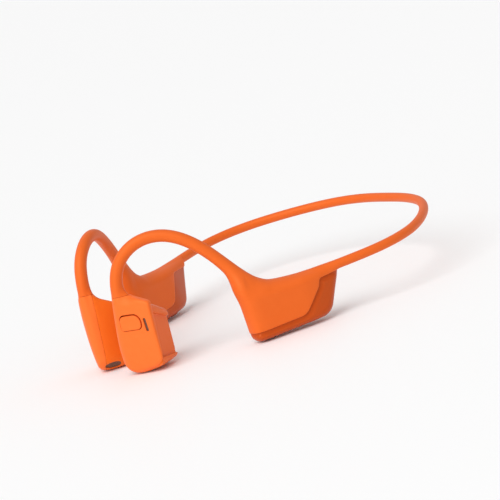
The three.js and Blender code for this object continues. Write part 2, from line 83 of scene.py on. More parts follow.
# From the middle of the neckband round to the pod, over the ear and down into the transducer.
CENTRE_LINE = [
    (0, 60, 0), (11.5, 59.4, 0), (22.2, 56.4, 0), (31.7, 50.4, 0), (39.9, 42.3, 0), (45.7, 32.9, 0),
    (47.4, 22.4, 0), (45, 11.3, 0), (41.2, 1.2, 0), (37.7, -7.7, 0), (35, -14.7, 1.2), (32.4, -18.8, 5.6),
    HOOK_BEND, (24.4, -27.2, 20.6), (19.3, -32.4, 24.9), (14.2, -39.1, 25.1), (10.8, -44.8, 20.7),
    (9.55, -47.5, 12.6), (9.7, -48.05, 5.3),
]


# ------------------------------------------------------------------ frames
def to_row(points):
    """Band frame in mm to the row frame in metres."""
    x, y, z = np.asarray(points, float).T
    row_y = y * math.cos(TILT) - z * math.sin(TILT) + SHIFT
    row_z = y * math.sin(TILT) + z * math.cos(TILT) + LIFT
    return np.stack([x, row_y, row_z], axis=1) / 1000


class LocalFrame:
    """An origin and three unit axes in the band frame."""

    def __init__(self, origin, x_axis, y_axis, z_axis):
        self.origin = np.array(origin, float)
        self.axes = np.array([x_axis, y_axis, z_axis], float)

    def local(self, points):
        """Band-frame points as three arrays of local coordinates."""
        return ((points - self.origin) @ self.axes.T).T

    def world(self, local):
        """One or more local points in the band frame."""
        return self.origin + np.atleast_2d(local) @ self.axes


def pod_frame():
    yaw = math.radians(71.6)
    along = np.array([math.cos(yaw), math.sin(yaw), 0])
    up = np.array([0, 0, 1.0])
    return LocalFrame((35.7, -13.2, 0), along, up, np.cross(along, up))


def transducer_frame():
    yaw, lean = math.radians(61), math.radians(5.26)
    up = np.array([0, math.sin(lean), math.cos(lean)])
    out = np.array([math.cos(yaw), -math.sin(yaw), 0])
    out -= up * (out @ up)
    out /= np.linalg.norm(out)
    return LocalFrame((7.82, -52.75, 0), np.cross(up, out), up, out)


POD = pod_frame()  # x backwards along the pod, y up, z outwards
FACE = transducer_frame()  # x backwards along the outer face, y up, z out of it


# ------------------------------------------------------------------ curves
def spline(points, samples):
    """A natural cubic spline through the points, evenly sampled."""
    points = np.array(points, float)
    chord = np.concatenate([[0], np.cumsum(np.linalg.norm(np.diff(points, axis=0), axis=1))])
    count = len(points)
    system = np.eye(count)
    right = np.zeros((count, 3))
    for i in range(1, count - 1):
        before, after = chord[i] - chord[i - 1], chord[i + 1] - chord[i]
        system[i, i - 1:i + 2] = before, 2 * (before + after), after
        right[i] = 6 * ((points[i + 1] - points[i]) / after - (points[i] - points[i - 1]) / before)
    bend = np.linalg.solve(system, right)

    def at(t):
        i = np.clip(np.searchsorted(chord, t, side="right") - 1, 0, count - 2)
        width = (chord[i + 1] - chord[i])[:, None]
        a = (chord[i + 1] - t)[:, None] / width
        b = 1 - a
        cubic = ((a**3 - a) * bend[i] + (b**3 - b) * bend[i + 1]) * width**2 / 6
        return a * points[i] + b * points[i + 1] + cubic

    fine = at(np.linspace(0, chord[-1], 4000))
    length = np.concatenate([[0], np.cumsum(np.linalg.norm(np.diff(fine, axis=0), axis=1))])
    even = np.linspace(0, length[-1], samples)
    return np.stack([np.interp(even, length, fine[:, axis]) for axis in range(3)], axis=1)


def left_half():
    """The centre line from the middle of the neckband to the left transducer, about 0.4 mm a step."""
    mirrored = [(-x, y, z) for x, y, z in CENTRE_LINE[1:4]][::-1]
    whole = spline(mirrored + CENTRE_LINE, 1200)
    start = np.argmin(np.where(whole[:, 1] > 0, np.abs(whole[:, 0]), 99))
    half = whole[start:]
    half[0, 0] = 0
    return half[::2]


SPINE = left_half()


def nearest_step(point):
    """The step of the centre line that is nearest to a point."""
    return int(np.argmin(((SPINE - np.array(point)) ** 2).sum(axis=1)))


def ramp(x, low, high):
    """Rises smoothly from 0 at low to 1 at high."""
    t = np.clip((x - low) / (high - low), 0, 1)
    return t * t * (3 - 2 * t)


def spine_radius():
    """Radius along the centre line: thin neckband, thicker hook, swollen where the hook leaves the pod."""
    steps = np.arange(len(SPINE))
    pod_rear = nearest_step(POD.world((22, 0, 0))[0])
    pod_front = nearest_step(POD.world((-4, 3, 0))[0])
    hook = nearest_step(HOOK_BEND)
    above_seam = nearest_step(FACE.world((3.6, SEAM_HEIGHT + 6, -2.2))[0])
    flare = 0.1
    inside_pod = pod_rear + 30
    radius = BAND_RADIUS + flare * ramp(steps, pod_rear, inside_pod)
    radius += (POD_END_RADIUS - BAND_RADIUS - flare) * ramp(steps, inside_pod, pod_front)
    radius += (HOOK_RADIUS - POD_END_RADIUS) * ramp(steps, pod_front, hook + 8)
    radius += flare * ramp(steps, above_seam - 20, above_seam + 14)
    return radius


RADIUS = spine_radius()


# ------------------------------------------------------------------ fields
def smooth_max(a, b, width):
    """The larger of two fields, with the edge between them rounded over a width."""
    h = np.clip(0.5 + 0.5 * (a - b) / width, 0, 1)
    return b + (a - b) * h + width * h * (1 - h)


def smooth_min(a, b, width):
    return -smooth_max(-a, -b, width)


def tube(points, first, last):
    """Distance to the swept tube between two steps of the centre line."""
    spine, radius = SPINE[first:last], RADIUS[first:last]
    batch = 60000
    result = np.empty(len(points))
    for start in range(0, len(points), batch):
        part = points[start:start + batch]
        square = (part**2).sum(1)[:, None] - 2 * part @ spine.T + (spine**2).sum(1)
        near = square.argmin(axis=1)
        best = np.full(len(part), 1e9)
        for shift in (-1, 0):
            i = np.clip(near + shift, 0, len(spine) - 2)
            step = spine[i + 1] - spine[i]
            t = np.clip(((part - spine[i]) * step).sum(1) / (step**2).sum(1), 0, 1)
            away = np.linalg.norm(part - spine[i] - t[:, None] * step, axis=1)
            best = np.minimum(best, away - radius[i] * (1 - t) - radius[i + 1] * t)
        result[start:start + batch] = best
    return result


def rounded(corners, steps=9):
    """A closed outline from corners (x, y, fillet radius)."""
    points = []
    count = len(corners)
    for i, (x, y, radius) in enumerate(corners):
        corner = np.array([x, y], float)
        if radius == 0:
            points.append(corner)
            continue
        back = np.array(corners[i - 1][:2]) - corner
        ahead = np.array(corners[(i + 1) % count][:2]) - corner
        back, ahead = back / np.linalg.norm(back), ahead / np.linalg.norm(ahead)
        half_angle = math.acos(np.clip(back @ ahead, -1, 1)) / 2
        middle = (back + ahead) / np.linalg.norm(back + ahead)
        centre = corner + middle * radius / math.sin(half_angle)
        start = corner + back * radius / math.tan(half_angle) - centre
        end = corner + ahead * radius / math.tan(half_angle) - centre
        from_angle = math.atan2(start[1], start[0])
        sweep = (math.atan2(end[1], end[0]) - from_angle + math.pi) % (2 * math.pi) - math.pi
        for angle in from_angle + sweep * np.linspace(0, 1, steps + 1):
            points.append(centre + radius * np.array([math.cos(angle), math.sin(angle)]))
    return np.array(points)


def flat_distance(x, y, outline):
    """Distance to a closed outline in a plane, negative inside."""
    best = np.full(x.shape, 1e9)
    inside = np.zeros(x.shape, bool)
    for (x0, y0), (x1, y1) in zip(outline, np.roll(outline, -1, axis=0)):
        ex, ey = x1 - x0, y1 - y0
        length = ex * ex + ey * ey
        if length < 1e-12:
            continue
        t = np.clip(((x - x0) * ex + (y - y0) * ey) / length, 0, 1)
        best = np.minimum(best, (x - x0 - t * ex) ** 2 + (y - y0 - t * ey) ** 2)
        if ey != 0:
            inside ^= ((y0 > y) != (y1 > y)) & (x < ex * (y - y0) / ey + x0)
    return np.where(inside, -1, 1) * np.sqrt(best)


# ------------------------------------------------------------------ surfaces
def gradient(field, points, h=0.02):
    """The field's slope, from the four corners of a small tetrahedron."""
    corners = np.array([(1, -1, -1), (-1, -1, 1), (-1, 1, -1), (1, 1, 1)], float)
    return sum(c * field(points + h * c)[:, None] for c in corners) / (4 * h)


def lattice(counts):
    """Every whole-number place in a box of the given counts, one row each."""
    return np.stack(np.meshgrid(*[np.arange(n) for n in counts], indexing="ij"), -1).reshape(-1, 3)


def sample(field, low, high, step):
    """Field values on a grid: exact near the surface, one rough value per block of cells elsewhere."""
    block = 4
    far = 99.0
    counts = np.ceil((high - low) / (step * block)).astype(int)
    blocks = lattice(counts)
    rough = field(low + (blocks + 0.5) * step * block)
    values = np.full(counts * block + 1, far)
    grid = rough.reshape(counts)
    for axis in range(3):
        grid = np.repeat(grid, block, axis)
    values[:-1, :-1, :-1] = grid
    near = blocks[np.abs(rough) < step * block * math.sqrt(3)] * block
    nodes = (near[:, None] + lattice([block + 1] * 3)[None]).reshape(-1, 3)
    flat = np.unique(np.ravel_multi_index(nodes.T, values.shape))
    nodes = np.stack(np.unravel_index(flat, values.shape), -1)
    values.ravel()[flat] = field(low + nodes * step)
    return values


def crossings(values, low, step):
    """Where grid edges cross the surface, the four cells round each such edge, and its quad facing out."""
    points, owners, quads = [], [], []
    for axis in range(3):
        ahead = [slice(None)] * 3
        behind = [slice(None)] * 3
        ahead[axis], behind[axis] = slice(1, None), slice(None, -1)
        a, b = values[tuple(behind)], values[tuple(ahead)]
        edges = np.argwhere((a < 0) != (b < 0))
        start, end = a[tuple(edges.T)], b[tuple(edges.T)]
        spot = edges.astype(float)
        spot[:, axis] += start / (start - end)
        points.append(low + spot * step)
        p, q = (axis + 1) % 3, (axis + 2) % 3
        ring = []
        for dp, dq in ((0, 0), (-1, 0), (-1, -1), (0, -1)):
            cell = edges.copy()
            cell[:, p] += dp
            cell[:, q] += dq
            inside = np.clip(cell, 0, np.array(values.shape) - 2)
            ring.append(np.ravel_multi_index(inside.T, values.shape))
        ring = np.stack(ring, 1)
        owners.append(ring)
        quads.append(np.where((start < 0)[:, None], ring, ring[:, ::-1]))
    return np.concatenate(points), np.concatenate(owners), np.concatenate(quads)


def contour(field, low, high, step):
    """Vertices and quads of the field's zero level, with its sharp edges kept (dual contouring)."""
    low, high = np.array(low, float), np.array(high, float)
    points, owners, quads = crossings(sample(field, low, high, step), low, step)
    normals = gradient(field, points)
    normals /= np.linalg.norm(normals, axis=1)[:, None] + 1e-12
    ids, index = np.unique(owners.ravel(), return_inverse=True)
    index = index.reshape(owners.shape)
    total = len(ids)

    def cell_sum(k, values):
        return np.bincount(index[:, k], values, minlength=total)

    weight = np.zeros(total)
    centre = np.zeros((total, 3))
    for k in range(4):
        weight += np.bincount(index[:, k], minlength=total)
        for axis in range(3):
            centre[:, axis] += cell_sum(k, points[:, axis])
    centre /= weight[:, None]
    # Each vertex goes where the planes through its crossings meet, held to their middle by a weak pull.
    pull = 0.08
    matrix = np.zeros((total, 3, 3))
    vector = np.zeros((total, 3))
    for k in range(4):
        offset = (normals * (points - centre[index[:, k]])).sum(1)
        for i in range(3):
            vector[:, i] += cell_sum(k, normals[:, i] * offset)
            for j in range(3):
                matrix[:, i, j] += cell_sum(k, normals[:, i] * normals[:, j])
    matrix += pull * np.eye(3)
    move = np.linalg.solve(matrix, vector[:, :, None])[:, :, 0]
    longest = 0.9 * step
    length = np.linalg.norm(move, axis=1)[:, None]
    move *= np.minimum(1, longest / np.maximum(length, 1e-9))
    return centre + move, np.searchsorted(ids, quads)


def settle(field, vertices):
    """Moves vertices onto the surface along the field's slope, by at most 0.1 mm a round."""
    most = 0.1
    for _ in range(2):
        slope = gradient(field, vertices)
        square = (slope**2).sum(1)[:, None]
        vertices = vertices - np.clip(field(vertices)[:, None] * slope / (square + 1e-9), -most, most)
    return vertices


def build(field, low, high, step):
    vertices, faces = contour(field, low, high, step)
    return settle(field, vertices), faces.tolist()


def bounds_of(local_frame, low, high):
    """The band-frame box round a box given in a local frame."""
    corners = [local_frame.world((x, y, z))[0] for x in (low[0], high[0]) for y in (low[1], high[1])
               for z in (low[2], high[2])]
    return np.min(corners, axis=0), np.max(corners, axis=0)


# ------------------------------------------------------------------ objects
def new_object(name, points, faces, material, side, sharp_angle):
    """A mesh object from band-frame points. side -1 mirrors a left piece to the right."""
    points = np.array(points, float)
    if side < 0:
        points[:, 0] *= -1
        faces = [face[::-1] for face in faces]
    mesh = bpy.data.meshes.new(name)
    mesh.from_pydata(to_row(points).tolist(), [], faces)
    mesh.validate()
    mesh.polygons.foreach_set("use_smooth", [True] * len(mesh.polygons))
    mesh.set_sharp_from_angle(angle=math.radians(sharp_angle))
    mesh.materials.append(MATERIALS[material])
    mesh.update()
    piece = bpy.data.objects.new(name, mesh)
    bpy.context.scene.collection.objects.link(piece)
    return piece


def swept(last, radius, sides):
    """A closed tube along the centre line, from the middle of the neckband to step last."""
    steps = list(range(0, last, 2)) + [last]
    line = SPINE[steps]
    along = np.gradient(line, axis=0)
    along /= np.linalg.norm(along, axis=1)[:, None]
    along[0] = (1, 0, 0)
    normal = np.cross(along[0], (0, 0, 1.0))
    angles = np.linspace(0, 2 * math.pi, sides, endpoint=False)
    rings = []
    for i, centre in enumerate(line):
        normal = normal - along[i] * (normal @ along[i])
        normal /= np.linalg.norm(normal)
        other = np.cross(along[i], normal)
        r = radius[steps[i]]
        rings.append(centre + r * (np.cos(angles)[:, None] * normal + np.sin(angles)[:, None] * other))
    points = np.concatenate(rings + [line[:1], line[-1:]])
    faces = []
    for i in range(len(line) - 1):
        for j in range(sides):
            k = (j + 1) % sides
            faces.append((i * sides + j, i * sides + k, (i + 1) * sides + k, (i + 1) * sides + j))
    start, end = len(points) - 2, len(points) - 1
    base = (len(line) - 1) * sides
    for j in range(sides):
        k = (j + 1) % sides
        faces.append((start, k, j))
        faces.append((end, base + j, base + k))
    return points, faces


# ------------------------------------------------------------------ pod fields
POD_OUTLINE = rounded([
    (-10.5, 5.2, 3), (-10.35, 0, 8), (-10.25, -13.4, 2.8), (15.4, -13.4, 5.2), (21.9, -1.2, 0.8),
    (21.8, 1.1, 0.5), (9, 1.5, 8), (0, 1.9, 4), (-4.5, 3.4, 2), (-7.5, 5.2, 1),
])
# The silicone panel on each side of the pod, run on past the pod where it has no edge of its own.
OUTER_PANEL = rounded([
    (-90, -10.15, 0), (7.0, -10.05, 4), (13.4, -3.6, 4), (14.2, -1.5, 1.2), (60, -1.3, 0), (60, 90, 0),
    (-90, 90, 0),
])
INNER_PANEL = rounded([
    (-90, -10.3, 0), (-9.8, -10.2, 0), (7.4, -9.7, 3.2), (12.1, -0.9, 1.6), (21, -1.9, 0), (60, -2.0, 0),
    (60, 90, 0), (-90, 90, 0),
])
CASE_RECESS = 0.16


def pod_body(points):
    """The pod's rounded box: it narrows to the nose in front, the tail behind and the top."""
    a, z, s = POD.local(points)
    forward = np.clip((-4.8 - a - ramp(z, -1, 6)) / 6.1, 0, 1)
    nose = np.sqrt(np.clip(1 - forward**2.4, 0.02, 1))
    tail = 1 - 0.58 * ramp(a, 8, 23)
    half = POD_HALF - 1.7 * ramp(z, -1, 6)
    face = (np.abs(s) - half * nose * tail) * 0.85
    return smooth_max(flat_distance(a, z, POD_OUTLINE), face, 2.7)


def panel_edge(points):
    """Negative where silicone covers the pod; the panel reaches further back on the outer side."""
    a, z, s = POD.local(points)
    outer = flat_distance(a, z, OUTER_PANEL)
    inner = flat_distance(a, z, INNER_PANEL)
    return inner + (outer - inner) * ramp(s, -2.5, 2.5)


POD_FIRST = nearest_step(POD.world((30, 0, 0))[0])
HOOK_FIRST = nearest_step(POD.world((8, 0, 0))[0])
LAST = len(SPINE)


def pod_cover_field(points):
    """The silicone on the pod and the first part of the hook, with a wide fillet where they meet."""
    a = POD.local(points)[0]
    width = 3.2 - 2.6 * ramp(a, -2, 13) + 3 * ramp(-a, 6, 10)
    joined = smooth_min(tube(points, POD_FIRST, LAST), pod_body(points), width)
    return smooth_max(joined, panel_edge(points), 0.3)


def pod_case_field(points):
    """The glossy case, set a little under the silicone and run on beneath its edge."""
    edge = panel_edge(points)
    s = POD.local(points)[2]
    groove = CASE_RECESS + 0.35 * (1 - ramp(edge, 0.2, 1.9)) * ramp(s, -1, 2)
    return smooth_max(pod_body(points) + groove, -edge - 0.7, 0.2)


# Under the right pod: place along it, length, width and corner radius.
USB_PORT = (-3, 8.9, 3.2, 1.3)
VOLUME_BUTTONS = {"volume_up": (4.4, 3.7, 3.4, 0.9), "volume_down": (8.7, 3.7, 3.4, 0.9)}
LIGHT_PIPE = (12.6, 1.6, 1.1)  # along, out and size
FIT = 0.25  # room round a piece that sits in a hole


def standing_bar(a, s, along, length, width, corner):
    """Distance to a rounded bar that stands on end under the pod."""
    x = np.abs(a - along) - length / 2 + corner
    y = np.abs(s) - width / 2 + corner
    return np.hypot(np.maximum(x, 0), np.maximum(y, 0)) + np.minimum(np.maximum(x, y), 0) - corner


def right_case_field(points):
    """The pod case with the holes for port, buttons and light that only the right one has."""
    a, _, s = POD.local(points)
    hole = standing_bar(a, s, *USB_PORT)
    for button in VOLUME_BUTTONS.values():
        hole = np.minimum(hole, standing_bar(a, s, *button))
    along, out, size = LIGHT_PIPE
    light = np.maximum(np.abs(a - along), np.abs(s - out)) - size / 2
    hole = np.minimum(hole, light)
    return smooth_max(pod_case_field(points), FIT - hole, 0.15)


def volume_button_field(points, button):
    """A key whose lower face is dished for the fingertip."""
    a, z, s = POD.local(points)
    side = standing_bar(a, s, *button)
    lowest, top, dish_depth = -13.7, -11.7, 0.18
    from_middle = ((a - button[0]) / 1.6) ** 2 + (s / 1.5) ** 2
    dish = lowest + dish_depth * (1 - np.clip(from_middle, 0, 1))
    return smooth_max(side, np.maximum(dish - z, z - top), 0.5)


# ------------------------------------------------------------------ transducer fields
def face_outline(rear_corner):
    """The transducer seen from outside; shell and housing differ at the lower rear corner."""
    return rounded([
        (-0.5, 14.5, 4), (-1.3, -12.3, 6), (6, -12, 7), (14.6, -9.7, rear_corner), (14.6, 9.6, 0.6),
        (9.4, 11.3, 2.5),
    ])


SHELL_OUTLINE = face_outline(5.5)
HOUSING_OUTLINE = face_outline(2.0)
SIDE_PROFILE = rounded([(1.2, 30, 0), (0, -12.8, 5), (-7.4, -12.6, 3), (-12, -10.9, 1), (-12, 30, 0)])
SHELL_REAR = 14.0
HOUSING_REAR = 13.35
BUTTON_OUTLINE = rounded([(3.2, 2.0, 1.0), (10.0, 2.0, 1.4), (10.0, 6.5, 2.4), (3.2, 6.5, 1.4)])
MIC_SLOT = ((11.42, 4.75), (11.65, 1.5), 0.43)  # two ends and the radius
PAD_OUTLINE = rounded([(2.7, -8.9, 1.6), (12.4, -8.6, 1.2), (12.4, 2.9, 1.2), (2.7, 3.9, 1.6)])


def block(points, outline, rear):
    """The transducer's rounded body, back to the rear edge given."""
    u, w, n = FACE.local(points)
    crown = n + 0.1 + 0.0063 * (w - 3) ** 2
    front = 0.25 + 0.5 * ramp(w, 4, 13) - 0.9 * ramp(-w, -8, 5)
    field = smooth_max(crown, front - u, 3.9)
    field = smooth_max(field, u - rear, 1.0)
    field = smooth_max(field, flat_distance(n, w, SIDE_PROFILE), 1.0)
    width = 1.0 + 1.2 * ramp(-w, 7, 11) + 2.5 * ramp(w, 5, 11) * ramp(-u, -11, -7)
    return smooth_max(field, flat_distance(u, w, outline), width)


def with_hook(points, body):
    """Grows the hook out of the body, with a wide fillet behind and inside and a tight one in front."""
    u, _, n = FACE.local(points)
    width = 1.2 + 2.0 * ramp(-n, 0.8, 3) * ramp(np.maximum(u, -n - 2), 1, 3.5)
    return smooth_min(body, tube(points, HOOK_FIRST, LAST), width)


def housing_block(points):
    """The body on the head's side, with its top sloped and its front cut back towards the cheek."""
    u, w, n = FACE.local(points)
    top = (w - 12.3 + 0.3 * u - 0.5 * (n + 4)) / 1.157
    inner_front = (0.25 - u - 0.5 * (n + 9)) / 1.12
    field = smooth_max(block(points, HOUSING_OUTLINE, HOUSING_REAR), inner_front, 2.0)
    return smooth_max(field, top, 1.3)


def parting(points):
    """Negative on the outer side of the joint between shell and housing."""
    u, w, n = FACE.local(points)
    return -n - 4.1 - 0.05 * (w + 2) + 0.18 * u


def head(points):
    """The transducer and the hook that grows out of it."""
    outer = with_hook(points, block(points, SHELL_OUTLINE, SHELL_REAR))
    inner = with_hook(points, housing_block(points))
    return outer + (inner - outer) * ramp(parting(points), -1, 1)


def segment_distance(x, y, a, b, radius):
    """Distance to a line with round ends in a plane."""
    ex, ey = b[0] - a[0], b[1] - a[1]
    t = np.clip(((x - a[0]) * ex + (y - a[1]) * ey) / (ex * ex + ey * ey), 0, 1)
    return np.hypot(x - a[0] - t * ex, y - a[1] - t * ey) - radius


def port_lens(points, grow=0.0):
    """Negative inside the lens-shaped sound port, seen along the lower front corner."""
    u, w, n = FACE.local(points)
    across = (u - 1.1) * 0.7 - (w + 9.9) * 0.7
    return (np.hypot((n + 5.6) / 2.4, across / 1.3) - 1) * 1.3 - grow


def port_side(points):
    """Negative on the lower front side of a slanting plane, where the sound port is."""
    u, w, _ = FACE.local(points)
    return (u - 4.5) * 0.7 + (w + 7.5) * 0.7


def cut_port(points, field):
    mouth = smooth_max(port_lens(points), port_side(points), 0.2)
    return smooth_max(field, -mouth, 0.15)


def shell_field(points):
    """The outer shell, on the outer side of the joint and below the seam with the hook's cover."""
    w = FACE.local(points)[1]
    field = smooth_max(with_hook(points, block(points, SHELL_OUTLINE, SHELL_REAR)), parting(points), 0.1)
    field = smooth_max(field, w - SEAM_HEIGHT + SEAM_GAP, 0.08)
    return cut_port(points, field)


def left_shell_field(points):
    """The shell with the button's hole and the microphone's slot."""
    u, w, n = FACE.local(points)
    hole_depth, slot_depth = 2.0, 1.5
    field = shell_field(points)
    hole = np.maximum(flat_distance(u - 0.12, w - 0.13, BUTTON_OUTLINE) - 0.2, -n - hole_depth)
    slot = np.maximum(segment_distance(u, w, *MIC_SLOT), -n - slot_depth)
    return smooth_max(smooth_max(field, -hole, 0.16), -slot, 0.2)


def housing_field(points):
    """The glossy housing, with a step recessed into its rear face between two flanges."""
    u, w, n = FACE.local(points)
    joint_gap = 0.03
    field = with_hook(points, housing_block(points))
    field = smooth_max(field, w - SEAM_HEIGHT + SEAM_GAP, 0.08)
    field = smooth_max(field, joint_gap - parting(points), 0.1)
    recess = smooth_max(12.35 - u, w - 6.9 - 0.378 * n, 0.3)
    recess = smooth_max(recess, -7.4 + 0.122 * n - w, 0.3)
    return cut_port(points, smooth_max(field, -recess, 0.35))


def grille_field(points):
    """A curved mesh just inside the sound port."""
    skin = block(points, HOUSING_OUTLINE, HOUSING_REAR)
    mouth = np.maximum(port_lens(points, 0.12), port_side(points))
    return np.maximum(smooth_max(skin + 0.28, -skin - 1.0, 0.1), mouth)


def pad_field(points):
    """The soft pad that rests on the cheek."""
    u, w, n = FACE.local(points)
    height = np.maximum(-n - 12.38, n + 11.6)
    return smooth_max(flat_distance(u, w, PAD_OUTLINE), height, 0.8)


def button_field(points):
    u, w, n = FACE.local(points)
    dip = 0.02 + 0.22 * ramp(u + w, 6, 18)
    return smooth_max(flat_distance(u, w, BUTTON_OUTLINE) + 0.06, np.maximum(n + dip - 0.12, -n - 1.3), 0.28)


def mic_mesh_field(points):
    """The mesh at the bottom of the microphone's slot."""
    u, w, n = FACE.local(points)
    return np.maximum(segment_distance(u, w, *MIC_SLOT) + 0.02, np.maximum(n + 0.62, -n - 1.3))


def cover_field(points):
    """Silicone from the pod over the hook to the transducer; near the transducer its own body shapes it."""
    u, w, n = FACE.local(points)
    near_head = (np.abs(u - 7) < 14) & (np.abs(n + 5) < 16) & (w < 24)
    field = np.empty(len(points))
    field[~near_head] = pod_cover_field(points[~near_head])
    above_seam = SEAM_HEIGHT + SEAM_GAP - w[near_head]
    field[near_head] = smooth_max(head(points[near_head]), above_seam, 0.08)
    return field


# ------------------------------------------------------------------ materials
def principled(name, color, roughness, metallic=0.0, **sockets):
    """A new material and its shader node; sockets are named with underscores for spaces."""
    material = bpy.data.materials.new(name)
    material.use_nodes = True
    shader = material.node_tree.nodes["Principled BSDF"]
    shader.inputs["Base Color"].default_value = (*color, 1)
    shader.inputs["Roughness"].default_value = roughness
    shader.inputs["Metallic"].default_value = metallic
    for socket, value in sockets.items():
        shader.inputs[socket.replace("_", " ")].default_value = value
    return material, shader


def surface_noise(tree, scale, detail):
    coordinates = tree.nodes.new("ShaderNodeTexCoord")
    noise = tree.nodes.new("ShaderNodeTexNoise")
    noise.inputs["Scale"].default_value = scale
    noise.inputs["Detail"].default_value = detail
    tree.links.new(coordinates.outputs["Object"], noise.inputs["Vector"])
    return noise


def grain(material, shader, scale, height, color, tint, roughness):
    """Fine moulded grain that lifts the surface, and a broader noise for its colour and roughness."""
    tree = material.node_tree
    fine = surface_noise(tree, scale, 4.0)
    bump = tree.nodes.new("ShaderNodeBump")
    bump.inputs["Strength"].default_value = 1.0
    bump.inputs["Distance"].default_value = height
    tree.links.new(fine.outputs["Fac"], bump.inputs["Height"])
    tree.links.new(bump.outputs["Normal"], shader.inputs["Normal"])
    broad = surface_noise(tree, scale / 25, 2.0)
    mix = tree.nodes.new("ShaderNodeMix")
    mix.data_type = "RGBA"
    mix.inputs["A"].default_value = (*color, 1)
    mix.inputs["B"].default_value = (*tint, 1)
    tree.links.new(broad.outputs["Fac"], mix.inputs["Factor"])
    tree.links.new(mix.outputs["Result"], shader.inputs["Base Color"])
    spread = tree.nodes.new("ShaderNodeMapRange")
    spread.inputs["To Min"].default_value = roughness[0]
    spread.inputs["To Max"].default_value = roughness[1]
    tree.links.new(broad.outputs["Fac"], spread.inputs["Value"])
    tree.links.new(spread.outputs["Result"], shader.inputs["Roughness"])
    return material


WARM = (1.0, 0.5, 0.22, 1.0)  # the orange finishes colour what they reflect


def silicone():
    material, shader = principled("orange_silicone", (0.76, 0.125, 0.019), 0.5,
                                  Specular_IOR_Level=0.5, Specular_Tint=WARM)
    return grain(material, shader, 9000, 0.000006, (0.75, 0.120, 0.015), (0.78, 0.132, 0.019), (0.42, 0.5))


def matte_shell():
    material, shader = principled("orange_matte_shell", (0.86, 0.155, 0.026), 0.45,
                                  Specular_IOR_Level=0.5, Specular_Tint=WARM)
    return grain(material, shader, 14000, 0.000005, (0.85, 0.15, 0.024), (0.88, 0.165, 0.029), (0.4, 0.5))


def gloss_case():
    material, shader = principled("orange_gloss_case", (0.50, 0.066, 0.006), 0.16, Specular_Tint=WARM)
    return grain(material, shader, 1500, 0.000001, (0.48, 0.062, 0.007), (0.52, 0.070, 0.009), (0.14, 0.22))


def satin_housing():
    material, shader = principled("orange_satin_housing", (0.83, 0.145, 0.014), 0.24,
                                  Specular_IOR_Level=0.3, Specular_Tint=WARM)
    return grain(material, shader, 6000, 0.000001, (0.82, 0.140, 0.013), (0.85, 0.150, 0.016), (0.22, 0.28))


def dark_mesh():
    """Woven acoustic mesh: two crossed sets of wires."""
    material, shader = principled("dark_acoustic_mesh", (0.08, 0.04, 0.03), 0.55, 0.35)
    tree = material.node_tree
    coordinates = tree.nodes.new("ShaderNodeTexCoord")
    waves = []
    for direction in ("X", "Z"):
        wave = tree.nodes.new("ShaderNodeTexWave")
        wave.bands_direction = direction
        wave.inputs["Scale"].default_value = 900
        tree.links.new(coordinates.outputs["Object"], wave.inputs["Vector"])
        waves.append(wave)
    weave = tree.nodes.new("ShaderNodeMath")
    weave.operation = "MAXIMUM"
    for i, wave in enumerate(waves):
        tree.links.new(wave.outputs["Fac"], weave.inputs[i])
    colors = tree.nodes.new("ShaderNodeMix")
    colors.data_type = "RGBA"
    colors.inputs["A"].default_value = (0.02, 0.01, 0.008, 1)
    colors.inputs["B"].default_value = (0.20, 0.09, 0.055, 1)
    tree.links.new(weave.outputs[0], colors.inputs["Factor"])
    tree.links.new(colors.outputs["Result"], shader.inputs["Base Color"])
    bump = tree.nodes.new("ShaderNodeBump")
    bump.inputs["Distance"].default_value = 0.00003
    tree.links.new(weave.outputs[0], bump.inputs["Height"])
    tree.links.new(bump.outputs["Normal"], shader.inputs["Normal"])
    return material


def plain_metal(name, color, roughness):
    material, shader = principled(name, color, roughness, 1.0)
    return grain(material, shader, 6000, 0.000002, color, tuple(0.9 * c for c in color),
                 (roughness * 0.85, roughness * 1.25))


def plain_plastic(name, color, roughness):
    material, shader = principled(name, color, roughness)
    return grain(material, shader, 8000, 0.000003, color, tuple(min(1, 1.12 * c) for c in color),
                 (roughness * 0.9, roughness * 1.1))


def make_materials():
    return {
        "silicone": silicone(),
        "matte_shell": matte_shell(),
        "gloss_case": gloss_case(),
        "satin_housing": satin_housing(),
        "mesh": dark_mesh(),
        "titanium": plain_metal("drawn_titanium", (0.55, 0.53, 0.50), 0.35),
        "driver_steel": plain_metal("plated_steel", (0.60, 0.61, 0.62), 0.25),
        "copper": plain_metal("enamelled_copper", (0.70, 0.30, 0.14), 0.3),
        "black_plastic": plain_plastic("black_moulding", (0.02, 0.02, 0.02), 0.45),
        "metal_can": plain_metal("nickel_plate", (0.62, 0.61, 0.59), 0.22),
        "battery_foil": plain_metal("pouch_foil", (0.66, 0.67, 0.69), 0.38),
        "circuit_board": plain_plastic("solder_mask", (0.02, 0.12, 0.05), 0.35),
        "light_pipe": plain_plastic("milky_light_pipe", (0.85, 0.84, 0.80), 0.25),
    }


MATERIALS = make_materials()


# ------------------------------------------------------------------ building the pieces
SIDES = (("left", 1), ("right", -1))


def place(name, shape, material, side, body, nodes):
    """A finished piece that rides on one body; its edges sharper than 35 degrees stay crisp."""
    piece = new_object(name, *shape, material, side, 35)
    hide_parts(*nodes)
    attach(piece, body)


